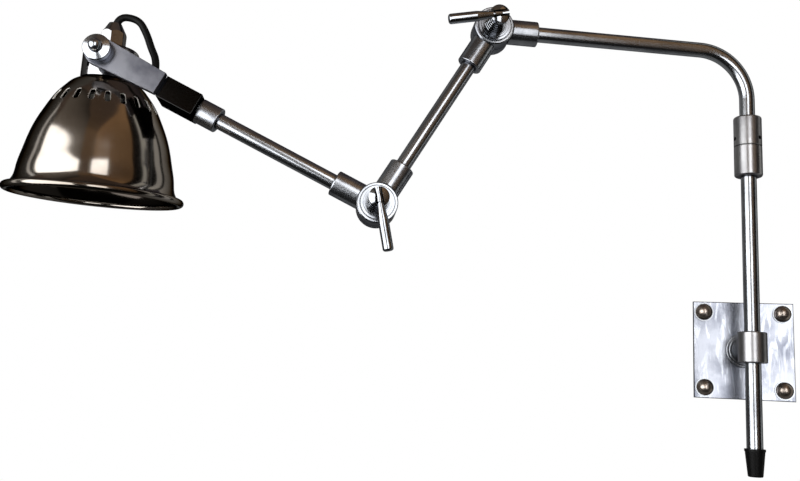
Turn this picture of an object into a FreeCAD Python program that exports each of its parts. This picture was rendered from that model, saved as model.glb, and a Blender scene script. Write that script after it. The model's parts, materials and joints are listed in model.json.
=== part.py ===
import FreeCAD, Part
import math
import os

# Articulating wall lamp. Millimetres, +Z up, +X along the wall to the right, +Y into the wall.
# The origin is the centre of the wall plate's back face. The lamp swings on an upright pole that
# stands off the wall, and everything beyond the swivel is drawn in the arm's own frame: the pole's
# axis is its origin, -X runs out along the arm, -Y faces the viewer. The arm is then swung to rest.

# wall plate and its fixings
plate_side = 100.0
plate_thickness = 6.0
plate_chamfer = 0.8
stud_inset = 11.0
stud_radius = 3.0
stud_core_radius = 2.7
stud_reach = 40.0
stud_hole_clearance = 0.2
washer_radius = 9.7
washer_thickness = 1.6
nut_radius = 8.3
nut_skirt = 2.4
nut_dome = 6.6
nut_thread_depth = 6.0

# bracket between plate and pole
pole_standoff = 72.0
flange_radius = 17.6
flange_thickness = 3.5
step_radius = 15.2
step_thickness = 4.0
stem_radius = 13.2
collar_radius = 13.7
collar_height = 29.6
collar_edge = 1.2
stem_bolt_radius = 4.0
stem_bolt_head_radius = 7.0
stem_bolt_head = 3.5
collar_screw_radius = 2.5
collar_screw_turn = 35.0

# tubes
tube_radius = 7.6
tube_wall = 1.5
slide_clearance = 0.06
socket_clearance = 0.02
running_clearance = 0.05
face_gap = 0.1

# pole, from the gland at its foot to the swivel
pole_foot = -95.0
gland_lip_radius = 9.8
gland_lip = 2.2
gland_top_radius = 9.3
gland_foot_radius = 6.95
gland_length = 25.5
gland_bore_radius = 4.0
gland_plug = 12.0
barrel_radius = 13.65
barrel_foot = 169.7
barrel_seam = 200.2
barrel_top = 231.5
barrel_round = 2.0
barrel_seam_chamfer = 0.4
pole_in_barrel = 20.0
spigot_base_radius = 9.2
spigot_radius = 8.0
spigot_rise = 15.8
spigot_bore = 4.0
groove_width = 4.6
groove_depth = 1.3
swivel_washer_thickness = 0.6
swivel_washer_radius = 12.8
set_screw_height = 8.1
set_screw_radius = 2.0
set_screw_key = 1.1
set_screw_sink = 0.3
set_screw_turn = 60.0
set_screws = 3
upper_web = 1.5

# arm links
arm_swing = 19.0
upper_height = 300.0
upper_reach = 266.3
bend_radius = 49.5
middle_length = 213.2
middle_slope = 60.7
lower_length = 287.5
lower_slope = 24.6

# elbow joints
knuckle_radius = 19.4
knuckle_half = 15.3
knuckle_set_back = 1.8
knuckle_chamfer = 1.0
knuckle_clearance = 0.8
stub_radius = 12.45
stub_reach = 45.5
stub_round = 1.4
tube_in_stub = 21.5
friction_thickness = 1.0
friction_radius = 18.6
elbow_bolt_radius = 4.0
elbow_bolt_head_radius = 9.0
elbow_bolt_head = 3.2
chamber_inner = 6.6
chamber_outer = 13.0
chamber_depth = 9.0
wire_way_radius = 3.0
wire_way_offset = 4.6
face_groove_radius = 16.9
face_groove_width = 0.9
face_groove_depth = 0.8
ring_radii = [15.6, 13.2, 11.4]
ring_step = 1.15

# clamp nut with its lever
ridge_radii = [10.4, 9.5, 8.6, 7.7, 6.8]
ridge_step = 2.6
ridge_groove = 0.8
ridge_groove_depth = 1.5
ridge_edge = 0.3
nut_waist_radius = 6.0
nut_waist = 3.55
nut_flare = 4.0
nut_head_radius = 9.5
nut_head_side = 3.3
nut_head_dome = 2.7
lever_slot_width = 6.8
lever_slot_floor = 20.95
lever_seat = 24.0
lever_tail = 8.5
lever_tail_radius = 3.3
lever_waist = 2.0
lever_waist_radius = 2.5
lever_collar = 5.0
lever_collar_radius = 3.0
lever_groove = 1.5
lever_groove_radius = 2.25
lever_shoulder = 23.0
lever_radius = 4.95
lever_length = 50.3
lever_end_round = 2.2
upper_lever_turn = 192.2
lower_lever_turn = -77.2

# end block and the bar that carries the head
block_near = 62.3
block_far = 99.0
block_half_height = 11.0
block_front = 20.1
block_back = 12.5
block_edge = 0.8
tube_in_block = 12.0
lug_near = 44.0
lug_half_height = 8.5
lug_thickness = 7.6
ferrule_radius = 12.1
ferrule_length = 20.5
ferrule_round = 1.2
bar_thickness = 7.0
bar_end_radius = 13.5
bar_half_height = 11.0
bar_edge = 0.5
bar_boss_radii = [12.6, 11.2]
bar_boss_step = 1.4
bar_screw_radius = 2.0
bar_screw_head_radius = 3.6
bar_screw_head = 2.4
bar_screw_bite = 4.5
bar_screw_edge = 5.0
bush_radius = 6.0
bush_flange = 2.0
bush_plug_radius = 4.6
bush_plug = 10.0

# head: pivot, neck, shade and lamp
head_tilt = 1.0
head_lean = 4.5
head_set_back = 15.5
neck_radius = 25.5
neck_wall = 1.5
neck_rise = 17.6
neck_drop = 14.3
neck_shoulder = 6.5
neck_slots = 6
neck_slot_width = 3.0
neck_slot_length = 6.5
neck_slot_drop = 3.8
neck_slot_turn = 34.0
boss_radius = 9.0
pivot_washer_thickness = 0.8
pivot_radius = 4.0
pivot_head_radius = 8.0
pivot_head = 2.2
pivot_head_depth = 21.6
knob_base_radius = 11.2
knob_groove_radius = 9.4
knob_rim_radius = 12.3
knob_base = 2.0
knob_groove = 1.0
knob_rim = 4.0
knob_cone = 2.0
knob_cone_top = 6.2
ball_radius = 5.9
ball_rise = 2.4
shade_wall = 1.2
shade_collar_radius = 23.9
shade_collar_rise = 5.5
shade_top = 14.6
shade_profile = [
    (28.5, 16.6), (33.7, 20.4), (37.5, 24.8), (42.5, 31.0), (47.6, 39.0), (52.6, 49.0),
    (57.5, 59.7), (62.7, 74.8), (66.6, 90.7), (69.6, 104.5), (71.8, 116.2),
]
rim_radius = 77.3
rim_drop = 124.6
bead_radius = 3.4
vents = 22
vent_width = 4.9
vent_length = 12.8
vent_drop = 38.0
vent_radius = 48.0
vent_slope = 59.0
vent_turn = 0.0
nipple_radius = 5.0
nipple_bore = 3.6
nipple_rise = 10.0
nipple_sink = 6.0
holder_radius = 18.2
holder_top = -13.0
holder_foot = 30.0
holder_bore = 13.6
holder_floor = 6.0
holder_ring_radius = 27.5
holder_ring = 2.5
holder_ring_top = 17.9
bulb_cap_radius = 13.2
bulb_cap_top = -2.0
bulb_neck_radius = 14.5
bulb_globe_radius = 29.0
bulb_globe_drop = 72.0
bulb_wall = 1.0
grip_flats = 20.8
grip_height = 16.0
grip_cone = 9.0
grip_top_radius = 5.8
cord_radius = 3.5
cord_clearance = 0.1

# the head lead's route in the arm's frame, from the cord grip to the bush in the end block
cord_route = [
    (-631.47, 12.91, 266.65), (-631.17, 11.58, 283.6), (-610.5, 12.5, 283.4), (-601.0, 11.5, 268.5),
    (-594.5, 8.5, 253.0), (-588.3, 5.0, 241.5), (-586.8, 2.2, 226.5), (-587.04, 0.0, 213.15),
    (-572.0, 0.0, 206.3),
]

# derived places in the arm's frame
elbow_up = FreeCAD.Vector(-upper_reach, 0, upper_height)
middle_run = math.radians(middle_slope)
elbow_low = elbow_up + FreeCAD.Vector(
    -middle_length * math.cos(middle_run), 0, -middle_length * math.sin(middle_run)
)
lower_run = math.radians(lower_slope)
pivot = elbow_low + FreeCAD.Vector(
    -lower_length * math.cos(lower_run), 0, lower_length * math.sin(lower_run)
)
tube_bore = tube_radius - tube_wall
front_face = knuckle_half + friction_thickness / 2 + face_gap - knuckle_set_back
rings_face = front_face + ring_step * len(ring_radii)
bar_front = block_front + bar_thickness
boss_face = bar_front + bar_boss_step * len(bar_boss_radii)

X = FreeCAD.Vector(1, 0, 0)
Y = FreeCAD.Vector(0, 1, 0)
Z = FreeCAD.Vector(0, 0, 1)
ORIGIN = FreeCAD.Vector(0, 0, 0)
TO_FRONT = FreeCAD.Rotation(X, 90)  # turns +Z to -Y, towards the viewer
ARM = FreeCAD.Placement(FreeCAD.Vector(0, -pole_standoff, 0), FreeCAD.Rotation(Z, arm_swing))
HEAD = ARM.multiply(FreeCAD.Placement(
    pivot + Y * head_set_back,
    FreeCAD.Rotation(Y, head_tilt).multiply(FreeCAD.Rotation(X, head_lean)),
))


def rod(radius, length, start=ORIGIN, along=Z):
    return Part.makeCylinder(radius, length, start, along)


def turned(outline):
    """A solid turned about Z from a closed outline of (radius, height) points."""
    wire = Part.makePolygon([FreeCAD.Vector(r, 0, h) for r, h in outline + outline[:1]])
    return Part.Face(wire).revolve(ORIGIN, Z, 360)


def stepped(radii, step, bore, start=0.0):
    """A stack of discs on Z, each one step high, with a bore through them."""
    body = None
    for level, radius in enumerate(radii):
        disc = rod(radius, step, Z * (start + level * step))
        body = disc if body is None else body.fuse(disc)
    body = body.cut(rod(bore, step * len(radii), Z * start))
    return body.removeSplitter()


def put(shape, place=ORIGIN, turn=FreeCAD.Rotation()):
    moved = shape.copy()
    moved.Placement = FreeCAD.Placement(place, turn).multiply(moved.Placement)
    return moved


def soften(shape, size, picks, chamfer=False):
    """Rounds or chamfers the edges that picks accepts."""
    edges = [e for e in shape.Edges if picks(e)]
    return shape.makeChamfer(size, edges) if chamfer else shape.makeFillet(size, edges)


def circle_at(radius, height, axis="z"):
    """Accepts full circles of one radius at one height on an axis."""
    def picks(edge):
        curve = edge.Curve
        if not isinstance(curve, Part.Circle) or abs(curve.Radius - radius) > 1e-4:
            return False
        return abs(getattr(curve.Center, axis) - height) < 1e-4
    return picks


def save(name, shape, frame=FreeCAD.Placement()):
    placed = put(shape)
    placed.Placement = frame.multiply(placed.Placement)
    solids = placed.Solids
    if not placed.isValid() or not solids:
        raise ValueError(name + " is not a valid solid")
    body = solids[0] if len(solids) == 1 else Part.makeCompound(solids)
    body.exportStep("parts/" + name + ".step")
    print(name, len(solids), round(sum(s.Volume for s in solids), 1))


# ---- wall plate, bracket ----

def stud_places():
    reach = plate_side / 2 - stud_inset
    return [(x, z) for x in (-reach, reach) for z in (-reach, reach)]


def wall_plate():
    half = plate_side / 2
    plate = Part.makeBox(plate_side, plate_thickness, plate_side, FreeCAD.Vector(-half, -plate_thickness, -half))
    plate = soften(plate, plate_chamfer, lambda e: abs(e.CenterOfMass.y + plate_thickness) < 1e-6, True)
    for x, z in stud_places():
        at = FreeCAD.Vector(x, -plate_thickness, z)
        plate = plate.cut(rod(stud_radius + stud_hole_clearance, plate_thickness, at, Y))
    plate = plate.cut(rod(stem_bolt_radius, plate_thickness, Y * -plate_thickness, Y))
    return plate.cut(rod(stem_bolt_head_radius, stem_bolt_head, Y * -stem_bolt_head, Y))


def wall_studs():
    """M6 outside the wall face, and the thread's core where the plate and the nut take it."""
    inner = plate_thickness + washer_thickness + nut_thread_depth
    studs = []
    for x, z in stud_places():
        at = FreeCAD.Vector(x, 0, z)
        stud = rod(stud_radius, stud_reach, at, Y).fuse(rod(stud_core_radius, inner, at, Y * -1))
        studs.append(stud.removeSplitter())
    return studs


def plate_washers():
    one = rod(washer_radius, washer_thickness).cut(rod(stud_radius + stud_hole_clearance, washer_thickness))
    return [put(one, FreeCAD.Vector(x, -plate_thickness, z), TO_FRONT) for x, z in stud_places()]


def dome_nuts():
    one = rod(nut_radius, nut_skirt)
    cap_radius = (nut_radius ** 2 + nut_dome ** 2) / (2 * nut_dome)
    cap = Part.makeSphere(cap_radius, Z * (nut_skirt + nut_dome - cap_radius))
    one = one.fuse(cap.common(rod(nut_radius, nut_dome, Z * nut_skirt))).removeSplitter()
    one = one.cut(rod(stud_core_radius, nut_thread_depth))
    face = -plate_thickness - washer_thickness
    return [put(one, FreeCAD.Vector(x, face, z), TO_FRONT) for x, z in stud_places()]


def bracket_flange():
    foot = rod(flange_radius, flange_thickness)
    foot = soften(foot, 0.8, circle_at(flange_radius, flange_thickness))
    step = rod(step_radius, step_thickness, Z * flange_thickness)
    step = soften(step, 0.8, circle_at(step_radius, flange_thickness + step_thickness))
    flange = foot.fuse(step).removeSplitter()
    flange = flange.cut(rod(stem_bolt_radius, flange_thickness + step_thickness))
    return put(flange, Y * -plate_thickness, TO_FRONT)


def bracket_stem():
    foot = plate_thickness + flange_thickness + step_thickness
    stem = rod(stem_radius, pole_standoff - foot, Y * -foot, Y * -1)
    stem = stem.cut(rod(collar_radius, 4 * collar_height, FreeCAD.Vector(0, -pole_standoff, -2 * collar_height)))
    stem = max(stem.Solids, key=lambda s: s.CenterOfMass.y)
    return stem.cut(rod(stem_bolt_radius, pole_standoff, ORIGIN, Y * -1))


def bolt_tip():
    return pole_standoff - tube_radius - 1.2


def stem_bolt():
    shank = rod(stem_bolt_radius, bolt_tip(), ORIGIN, Y * -1)
    return shank.fuse(rod(stem_bolt_head_radius, stem_bolt_head, ORIGIN, Y * -1)).removeSplitter()


def collar_screw(radius, inner, outer):
    turn = math.radians(collar_screw_turn)
    along = FreeCAD.Vector(math.cos(turn), math.sin(turn), 0)
    return rod(radius, outer - inner, Y * -pole_standoff + along * inner, along)


def pole_collar():
    foot = Z * (-collar_height / 2)
    collar = rod(collar_radius, collar_height, foot)
    for end in (-collar_height / 2, collar_height / 2):
        collar = soften(collar, collar_edge, circle_at(collar_radius, end))
    collar = collar.cut(rod(tube_radius + slide_clearance, collar_height, foot))
    collar = put(collar, Y * -pole_standoff)
    collar = collar.cut(rod(stem_bolt_radius, bolt_tip(), ORIGIN, Y * -1))
    return collar.cut(collar_screw(collar_screw_radius, 0, collar_radius + 1))


def collar_set_screw():
    screw = collar_screw(collar_screw_radius, tube_radius + slide_clearance + 0.3, collar_radius - 0.4)
    return screw.cut(collar_screw(collar_screw_radius * 0.55, collar_radius - 2.6, collar_radius))


# ---- pole and swivel, drawn about the pole's axis ----

def pole_top():
    return barrel_foot + pole_in_barrel


def pole_tube():
    length = pole_top() - pole_foot
    return rod(tube_radius, length, Z * pole_foot).cut(rod(tube_bore, length, Z * pole_foot))


def end_gland():
    lip = pole_foot - gland_lip
    foot = pole_foot - gland_length
    outline = [
        (gland_bore_radius, pole_foot + gland_plug), (tube_bore - socket_clearance, pole_foot + gland_plug),
        (tube_bore - socket_clearance, pole_foot), (gland_lip_radius, pole_foot), (gland_lip_radius, lip),
        (gland_top_radius, lip), (gland_foot_radius, foot), (gland_bore_radius, foot),
    ]
    gland = turned(outline)
    return soften(gland, 1.2, circle_at(gland_foot_radius, foot))


def lower_barrel():
    height = barrel_seam - barrel_foot
    barrel = rod(barrel_radius, height, Z * barrel_foot)
    barrel = soften(barrel, barrel_round, circle_at(barrel_radius, barrel_foot))
    barrel = soften(barrel, barrel_seam_chamfer, circle_at(barrel_radius, barrel_seam), True)
    barrel = barrel.cut(rod(tube_radius + socket_clearance, pole_in_barrel, Z * barrel_foot))
    return barrel.cut(rod(spigot_base_radius, height, Z * pole_top()))


def swivel_spigot():
    height = barrel_seam - pole_top()
    body = rod(spigot_base_radius - socket_clearance, height, Z * pole_top())
    rise = rod(spigot_radius, spigot_rise, Z * barrel_seam)
    screw_z = barrel_seam + set_screw_height
    groove = rod(spigot_radius + 1, groove_width, Z * (screw_z - groove_width / 2))
    groove = groove.cut(rod(spigot_radius - groove_depth, groove_width, Z * (screw_z - groove_width / 2)))
    body = body.fuse(rise).removeSplitter().cut(groove)
    return body.cut(rod(spigot_bore, height + spigot_rise, Z * pole_top()))


def swivel_washer():
    disc = rod(swivel_washer_radius, swivel_washer_thickness, Z * barrel_seam)
    return disc.cut(rod(spigot_radius + socket_clearance, swivel_washer_thickness, Z * barrel_seam))


def upper_barrel_foot():
    return barrel_seam + swivel_washer_thickness + face_gap


def upper_socket_foot():
    return barrel_seam + spigot_rise + 0.4 + upper_web


def upper_barrel():
    foot = upper_barrel_foot()
    barrel = rod(barrel_radius, barrel_top - foot, Z * foot)
    barrel = soften(barrel, barrel_round, circle_at(barrel_radius, barrel_top))
    barrel = soften(barrel, barrel_seam_chamfer, circle_at(barrel_radius, foot), True)
    barrel = barrel.cut(rod(spigot_radius + running_clearance, upper_socket_foot() - upper_web - foot, Z * foot))
    barrel = barrel.cut(rod(spigot_bore, barrel_top - foot, Z * foot))
    barrel = barrel.cut(rod(tube_radius + socket_clearance, barrel_top, Z * upper_socket_foot()))
    for hole in set_screw_rods(set_screw_radius, 0, barrel_radius + 1):
        barrel = barrel.cut(hole)
    return barrel


def set_screw_rods(radius, inner, outer):
    rods = []
    for index in range(set_screws):
        turn = math.radians(set_screw_turn + 360.0 * index / set_screws)
        along = FreeCAD.Vector(math.cos(turn), math.sin(turn), 0)
        rods.append(rod(radius, outer - inner, Z * (barrel_seam + set_screw_height) + along * inner, along))
    return rods


def swivel_set_screws():
    inner = spigot_radius - groove_depth + 0.3
    outer = barrel_radius - set_screw_sink
    bodies = set_screw_rods(set_screw_radius, inner, outer)
    keys = set_screw_rods(set_screw_key, outer - 2.0, outer)
    return [body.cut(key) for body, key in zip(bodies, keys)]


# ---- tubes of the arm ----

def upper_tube():
    foot = upper_socket_foot()
    corner = FreeCAD.Vector(-bend_radius, 0, upper_height - bend_radius)
    low = FreeCAD.Vector(0, 0, upper_height - bend_radius)
    high = FreeCAD.Vector(-bend_radius, 0, upper_height)
    half = bend_radius * math.sin(math.radians(45))
    middle = corner + FreeCAD.Vector(half, 0, half)
    end = FreeCAD.Vector(-(upper_reach - stub_reach + tube_in_stub), 0, upper_height)
    path = Part.Wire([
        Part.LineSegment(Z * foot, low).toShape(),
        Part.Arc(low, middle, high).toShape(),
        Part.LineSegment(high, end).toShape(),
    ])
    skins = []
    for radius in (tube_radius, tube_bore):
        ring = Part.Wire(Part.Circle(Z * foot, Z, radius).toShape())
        skins.append(path.makePipeShell([ring], True, False))
    return skins[0].cut(skins[1])


def straight_tube(start, end):
    run = end - start
    length = run.Length
    run.normalize()
    return rod(tube_radius, length, start, run).cut(rod(tube_bore, length, start, run))


def middle_tube():
    run = elbow_low - elbow_up
    run.normalize()
    inset = stub_reach - tube_in_stub
    return straight_tube(elbow_up + run * inset, elbow_low - run * inset)


def lower_tube():
    run = pivot - elbow_low
    run.normalize()
    start = elbow_low + run * (stub_reach - tube_in_stub)
    return straight_tube(start, pivot - run * (block_far - tube_in_block))


# ---- elbows, drawn about their pivot axis with the stub along +X ----

def knuckle(front):
    """One half of an elbow: a disc with a tube socket, cleared for the other half's disc."""
    half_gap = friction_thickness / 2
    inner = knuckle_set_back - half_gap - face_gap if front else knuckle_set_back + half_gap
    away = Y * -1 if front else Y
    outer = inner + away.y * knuckle_half
    disc = rod(knuckle_radius, knuckle_half, Y * inner, away)
    disc = soften(disc, knuckle_chamfer, circle_at(knuckle_radius, outer, "y"), True)
    stub = rod(stub_radius, stub_reach, ORIGIN, X)
    stub = soften(stub, stub_round, circle_at(stub_radius, stub_reach, "x"))
    room = rod(knuckle_radius + knuckle_clearance, 2 * knuckle_half, Y * inner, away * -1)
    body = disc.fuse(stub.cut(room)).removeSplitter()
    body = body.cut(rod(tube_radius + socket_clearance, stub_reach, X * (stub_reach - tube_in_stub), X))
    bolt_hole = elbow_bolt_radius + (running_clearance if front else socket_clearance)
    body = body.cut(rod(bolt_hole, 4 * knuckle_half, Y * -2 * knuckle_half, Y))
    chamber = rod(chamber_outer, chamber_depth, Y * inner, away)
    chamber = chamber.cut(rod(chamber_inner, chamber_depth, Y * inner, away))
    way = rod(wire_way_radius, stub_reach - tube_in_stub - 9.0, X * 9.0 + Y * inner + away * wire_way_offset, X)
    body = body.cut(chamber).cut(way)
    if front:
        groove = rod(face_groove_radius, face_groove_depth, Y * outer, Y)
        groove = groove.cut(rod(face_groove_radius - face_groove_width, face_groove_depth, Y * outer, Y))
        body = body.cut(groove)
    return max(body.Solids, key=lambda s: s.Volume)


def friction_washer():
    low = Y * (knuckle_set_back - friction_thickness / 2)
    return rod(friction_radius, friction_thickness, low, Y).cut(rod(chamber_outer, friction_thickness, low, Y))


def elbow_bolt():
    rear = knuckle_set_back + friction_thickness / 2 + knuckle_half
    tip = rings_face + face_gap + ridge_step * (len(ridge_radii) - 1)
    shank = rod(elbow_bolt_radius, rear + tip, Y * -tip, Y)
    head = rod(elbow_bolt_head_radius, elbow_bolt_head, Y * rear, Y)
    head = soften(head, 1.6, circle_at(elbow_bolt_head_radius, rear + elbow_bolt_head, "y"))
    return shank.fuse(head).removeSplitter()


def ring_washer():
    rings = stepped(ring_radii, ring_step, elbow_bolt_radius + running_clearance, front_face)
    return put(rings, ORIGIN, TO_FRONT)


def ridge_points(start, bore):
    """The nut's bore and ridged cone as (radius, height) points, from the axis to the waist."""
    top = start + ridge_step * len(ridge_radii)
    points = [(0, top), (bore, top), (bore, start)]
    for level, radius in enumerate(ridge_radii):
        foot = start + level * ridge_step
        crest = foot + ridge_step - ridge_groove
        points += [
            (radius - ridge_edge, foot), (radius, foot + ridge_edge), (radius, crest - ridge_edge),
            (radius - ridge_edge, crest), (radius - ridge_groove_depth, crest),
            (radius - ridge_groove_depth, foot + ridge_step),
        ]
    return points + [(nut_waist_radius, top), (nut_waist_radius, top + nut_waist)]


def clamp_nut(lever):
    """A ridged cone, a waist and a domed head that is slotted right across for the lever."""
    start = rings_face + face_gap
    points = ridge_points(start, elbow_bolt_radius + running_clearance)
    corners = [FreeCAD.Vector(r, 0, h) for r, h in points]
    edges = [Part.makeLine(a, b) for a, b in zip(corners, corners[1:])]
    waist = corners[-1]
    rim = waist.z + nut_flare
    lip = FreeCAD.Vector(nut_head_radius, 0, rim)
    swell = FreeCAD.Vector(nut_waist_radius + 0.3 * (nut_head_radius - nut_waist_radius), 0, waist.z + 0.62 * nut_flare)
    shoulder = lip + Z * nut_head_side
    top = shoulder.z + nut_head_dome
    dome_radius = (nut_head_radius ** 2 + nut_head_dome ** 2) / (2 * nut_head_dome)
    half = nut_head_radius / 2
    bow = FreeCAD.Vector(half, 0, top - dome_radius + math.sqrt(dome_radius ** 2 - half ** 2))
    edges.append(Part.Arc(waist, swell, lip).toShape())
    edges.append(Part.makeLine(lip, shoulder))
    edges.append(Part.Arc(shoulder, bow, Z * top).toShape())
    edges.append(Part.makeLine(Z * top, corners[0]))
    nut = Part.Face(Part.Wire(edges)).revolve(ORIGIN, Z, 360)
    floor = start + lever_slot_floor
    slot = Part.makeBox(
        3 * nut_head_radius, lever_slot_width, 2 * nut_head_radius,
        FreeCAD.Vector(-1.5 * nut_head_radius, -lever_slot_width / 2, floor),
    )
    nut = put(nut.cut(slot), ORIGIN, TO_FRONT).cut(lever)
    return max(nut.Solids, key=lambda s: s.Volume)


def clamp_lever():
    """A turned lever whose waisted tail lies in the nut's slot."""
    groove = lever_collar + lever_groove
    lever = turned([
        (0, -lever_tail), (lever_tail_radius, -lever_tail), (lever_waist_radius, -lever_waist),
        (lever_collar_radius, lever_collar), (lever_groove_radius, lever_collar), (lever_groove_radius, groove),
        (lever_collar_radius, groove), (lever_collar_radius, groove + 0.5), (lever_radius, lever_shoulder),
        (lever_radius, lever_length), (0, lever_length),
    ])
    lever = soften(lever, lever_end_round, circle_at(lever_radius, lever_length))
    return put(lever, Y * -(rings_face + face_gap + lever_seat), FreeCAD.Rotation(Z, X))


def about(centre, elevation):
    """Turns a piece drawn along +X to an elevation in the arm's plane and moves it to a joint."""
    return centre, FreeCAD.Rotation(Y, -elevation)


# ---- end block and bar, drawn about the head's pivot with the arm's run along +X ----

def end_block():
    length = block_far - block_near
    block = Part.makeBox(
        length, block_front + block_back, 2 * block_half_height,
        FreeCAD.Vector(block_near, -block_front, -block_half_height),
    )
    block = soften(block, block_edge, lambda e: True)
    lug = Part.makeBox(
        block_near - lug_near + 3, lug_thickness, 2 * lug_half_height,
        FreeCAD.Vector(lug_near, -block_front, -lug_half_height),
    )
    block = block.fuse(lug).removeSplitter()
    block = block.cut(rod(tube_radius + socket_clearance, tube_in_block, X * (block_far - tube_in_block), X))
    block = block.cut(rod(bush_plug_radius, length, X * block_near, X))
    for hole in bar_screw_rods(bar_screw_radius, block_front - lug_thickness - 1, bar_front):
        block = block.cut(hole)
    return block


def bar_screw_rods(radius, low, high):
    places = [-bar_screw_edge / 2 - 1.2, bar_screw_edge / 2 + 1.2]
    at = lug_near + 8.0
    return [rod(radius, high - low, FreeCAD.Vector(at, -low, z), Y * -1) for z in places]


def bar_screws():
    low = block_front - lug_thickness
    shanks = bar_screw_rods(bar_screw_radius, low, block_front + bar_screw_bite)
    heads = bar_screw_rods(bar_screw_head_radius - 0.4, low - bar_screw_head, low)
    slots = bar_screw_rods(0.9, low - bar_screw_head, low - 0.8)
    return [s.fuse(h).cut(k).removeSplitter() for s, h, k in zip(shanks, heads, slots)]


def end_ferrule():
    ferrule = rod(ferrule_radius, ferrule_length, X * block_far, X)
    ferrule = soften(ferrule, ferrule_round, circle_at(ferrule_radius, block_far + ferrule_length, "x"))
    return ferrule.cut(rod(tube_radius + socket_clearance, ferrule_length, X * block_far, X))


def bar_outline():
    """The bar seen from the front: a round end at the pivot, drawn in to the block's height."""
    drop = bar_end_radius - bar_half_height
    lean = math.asin(drop / block_near)
    tangent = FreeCAD.Vector(bar_end_radius * math.sin(lean), 0, bar_end_radius * math.cos(lean))
    below = FreeCAD.Vector(tangent.x, 0, -tangent.z)
    top = FreeCAD.Vector(block_near, 0, bar_half_height)
    foot = FreeCAD.Vector(block_near, 0, -bar_half_height)
    arc = Part.Arc(below, X * -bar_end_radius, tangent).toShape()
    return Part.Wire([arc, Part.makeLine(tangent, top), Part.makeLine(top, foot), Part.makeLine(foot, below)])


def head_bar():
    bar = Part.Face(put(bar_outline(), Y * -block_front)).extrude(Y * -bar_thickness)
    bar = soften(bar, bar_edge, lambda e: abs(e.CenterOfMass.y + bar_front) < 1e-6, True)
    rings = stepped(bar_boss_radii, bar_boss_step, pivot_radius + running_clearance, bar_front)
    bar = bar.fuse(put(rings, ORIGIN, TO_FRONT)).removeSplitter()
    bar = bar.cut(rod(pivot_radius + running_clearance, boss_face, ORIGIN, Y * -1))
    for hole in bar_screw_rods(bar_screw_radius, block_front, block_front + bar_screw_bite + 0.5):
        bar = bar.cut(hole)
    return bar


def cord_bush():
    flange = rod(bush_radius, bush_flange, X * (block_near - bush_flange), X)
    flange = soften(flange, 0.7, circle_at(bush_radius, block_near - bush_flange, "x"))
    plug = rod(bush_plug_radius - socket_clearance, bush_plug, X * block_near, X)
    bush = flange.fuse(plug).removeSplitter()
    return bush.cut(rod(cord_radius + cord_clearance, bush_plug + bush_flange, X * (block_near - bush_flange), X))


def pivot_boss():
    """The round boss between the neck's curved side and the bar's washer."""
    reach = block_front - pivot_washer_thickness - face_gap
    boss = rod(boss_radius, reach, ORIGIN, Y * -1)
    neck = rod(neck_radius, 4 * neck_radius, Z * (-2 * neck_radius))
    neck.Placement = ARM.inverse().multiply(HEAD).multiply(neck.Placement)
    neck.Placement.move(pivot * -1)
    boss = boss.cut(neck)
    boss = min(boss.Solids, key=lambda s: s.CenterOfMass.y)
    return boss.cut(rod(pivot_radius + socket_clearance, reach, ORIGIN, Y * -1))


def pivot_washer():
    low = block_front - pivot_washer_thickness - face_gap
    disc = rod(boss_radius, pivot_washer_thickness, Y * -low, Y * -1)
    return disc.cut(rod(pivot_radius + socket_clearance, pivot_washer_thickness, Y * -low, Y * -1))


def pivot_inner():
    return pivot_head_depth - head_set_back


def pivot_bolt():
    tip = boss_face + face_gap + knob_base + knob_groove + knob_rim - 2.0
    shank = rod(pivot_radius, tip - pivot_inner(), Y * -pivot_inner(), Y * -1)
    head = rod(pivot_head_radius, pivot_head, Y * -pivot_inner(), Y)
    return shank.fuse(head).removeSplitter()


def pivot_knob():
    foot = boss_face + face_gap
    groove = foot + knob_base
    rim = groove + knob_groove
    face = rim + knob_rim
    bore = pivot_radius + running_clearance
    knob = turned([
        (bore, foot), (knob_base_radius, foot), (knob_base_radius, groove), (knob_groove_radius, groove),
        (knob_groove_radius, rim), (knob_rim_radius - 0.9, rim), (knob_rim_radius, rim + 1.0),
        (knob_rim_radius, face - 0.6), (knob_rim_radius - 0.6, face), (knob_cone_top, face + knob_cone),
        (0, face + knob_cone), (0, face - 0.6), (bore, face - 0.6),
    ])
    ball = Part.makeSphere(ball_radius, Z * (face + knob_cone + ball_rise))
    return put(knob.fuse(ball).removeSplitter(), ORIGIN, TO_FRONT)


# ---- head, drawn about its own axis with the pivot at height 0 ----

def neck_shell():
    top = neck_rise
    body = rod(neck_radius, top + neck_drop, Z * -neck_drop)
    body = soften(body, neck_shoulder, circle_at(neck_radius, top))
    inside = rod(neck_radius - neck_wall, top + neck_drop - neck_wall, Z * -neck_drop)
    inside = soften(inside, neck_shoulder - neck_wall, circle_at(neck_radius - neck_wall, top - neck_wall))
    return body.cut(inside).cut(rod(nipple_radius, neck_wall, Z * (top - neck_wall)))


def slot_tool(width, length, depth):
    """A round-ended slot standing along Z, that cuts along -Y from the origin."""
    half = width / 2
    reach = length / 2 - half
    tool = Part.makeBox(width, depth, 2 * reach, FreeCAD.Vector(-half, -depth, -reach))
    for z in (-reach, reach):
        tool = tool.fuse(rod(half, depth, Z * z, Y * -1))
    return tool.removeSplitter()


def neck_cap():
    neck = neck_shell()
    tool = put(slot_tool(neck_slot_width, neck_slot_length, neck_radius + 2), Z * -neck_slot_drop)
    for index in range(neck_slots):
        turn = -neck_slot_turn + 360.0 * index / neck_slots
        neck = neck.cut(put(tool, ORIGIN, FreeCAD.Rotation(Z, turn)))
    hole = rod(pivot_radius + 0.3, neck_radius + 4, ORIGIN, Y * -1)
    hole.Placement = FreeCAD.Placement(ORIGIN, FreeCAD.Rotation(X, -head_lean)).multiply(hole.Placement)
    return neck.cut(hole)


def spline(points):
    curve = Part.BSplineCurve()
    curve.interpolate([FreeCAD.Vector(r, 0, -h) for r, h in points])
    return curve


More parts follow.
